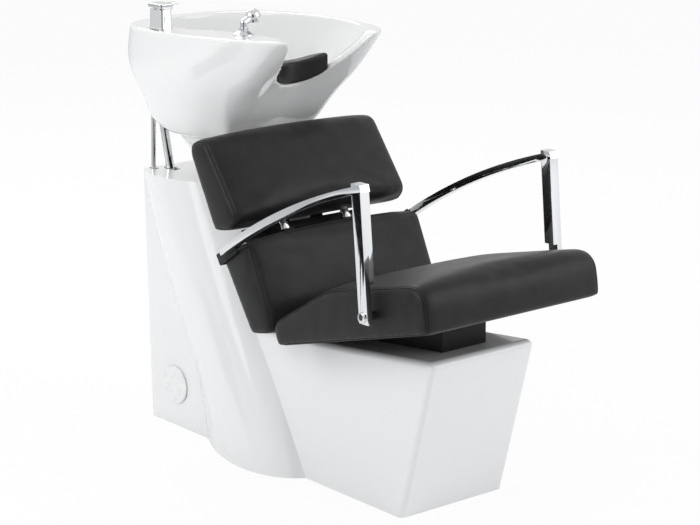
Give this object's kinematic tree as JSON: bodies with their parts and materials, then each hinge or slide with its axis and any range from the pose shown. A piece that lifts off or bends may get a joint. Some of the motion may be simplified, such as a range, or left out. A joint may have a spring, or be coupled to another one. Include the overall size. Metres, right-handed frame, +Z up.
{
  "type": "hair washing bed",
  "caption": "Salon backwash unit: padded seat and back on a leaning white moulded base, tilting ceramic hair basin on chrome tubes, mixer and pull-out hand shower.",
  "frame": {"origin": "on the floor, at the centre of the moulded base's footprint", "axes": "+Z up; the sitter faces -Y and leans back towards +Y; the sitter's right hand is on -X"},
  "size_m": [0.584, 1.229, 1.0574],
  "materials": {
    "white_shell": "gloss white moulding",
    "white_cap": "gloss white moulding",
    "frame_steel": "satin black powder coat",
    "black_steel": "satin black powder coat",
    "zinc_steel": "zinc plated",
    "bush_brass": "machined",
    "tube_chrome": "bright chrome",
    "sleeve_rubber": "matt",
    "basin_ceramic": "white glaze",
    "gel_black": "soft satin black gel",
    "fitting_chrome": "bright chrome",
    "shower_chrome": "bright chrome",
    "nut_plastic": "matt",
    "nut_brass": "machined",
    "black_leatherette": "soft black leatherette over foam",
    "core_wood": "plywood",
    "arm_chrome": "bright chrome",
    "plug_plastic": "matt black"
  },
  "bodies": {
    "base": {"base_shell": "white_shell", "rear_cover": "white_shell", "floor_frame": "frame_steel", "seat_pillar": "frame_steel", "seat_bolts": "zinc_steel", "mast": "frame_steel", "tilt_shaft": "zinc_steel", "seat_frame": "black_steel", "back_frame": "black_steel", "pad_studs": "tube_chrome", "seat_core": "core_wood", "seat_cushion": "black_leatherette", "lower_back_board": "core_wood", "lower_back_cushion": "black_leatherette", "upper_back_board": "core_wood", "upper_back_cushion": "black_leatherette", "arm_right": "arm_chrome", "arm_left": "arm_chrome", "arm_plugs": "plug_plastic", "arm_bolts": "arm_chrome", "arm_spacers": "plug_plastic"},
    "basin_unit": {"stand_foot": "frame_steel", "tilt_bushes": "bush_brass", "thick_tube_right": "tube_chrome", "thick_tube_left": "tube_chrome", "thin_tube_right": "tube_chrome", "thin_tube_left": "tube_chrome", "tube_sleeves": "sleeve_rubber", "basin": "basin_ceramic", "waste_flange": "fitting_chrome", "waste_nut": "nut_plastic", "mixer_body": "fitting_chrome", "mixer_nut": "nut_brass", "shower_guide": "fitting_chrome", "shower_nut": "nut_brass"},
    "spindle": {"mixer_spindle": "fitting_chrome"},
    "lever": {"mixer_lever": "fitting_chrome"},
    "shower": {"hand_shower": "shower_chrome"},
    "strainer": {"waste_strainer": "fitting_chrome"},
    "neck_cushion": {"neck_rest": "gel_black"},
    "cap": {"access_cap": "white_cap"}
  },
  "joints": [
    {"name": "basin_tilt", "type": "hinge", "parent": "base", "child": "basin_unit", "pos_m": [0, 0.445, 0.61], "axis": [1, 0, 0], "range_deg": [-8, 2]},
    {"name": "mixer_turn", "type": "hinge", "parent": "basin_unit", "child": "spindle", "pos_m": [-0.203, 0.338, 1.03], "axis": [0, 0, 1], "range_deg": [-45, 45]},
    {"name": "mixer_lift", "type": "hinge", "parent": "spindle", "child": "lever", "pos_m": [-0.2095, 0.338, 1.0453], "axis": [0, -1, 0], "range_deg": [0, 15]},
    {"name": "shower_pull", "type": "slide", "parent": "basin_unit", "child": "shower", "axis": [0, 0, 1], "range_m": [0, 0.06]},
    {"name": "strainer_lift", "type": "slide", "parent": "basin_unit", "child": "strainer", "axis": [0, 0, 1], "range_m": [0, 0.05]},
    {"name": "neck_cushion_lift", "type": "slide", "parent": "basin_unit", "child": "neck_cushion", "axis": [0, 0, 1], "range_m": [0, 0.08]},
    {"name": "cap_pull", "type": "slide", "parent": "base", "child": "cap", "axis": [-1, 0, 0], "range_m": [0, 0.03]}
  ]
}
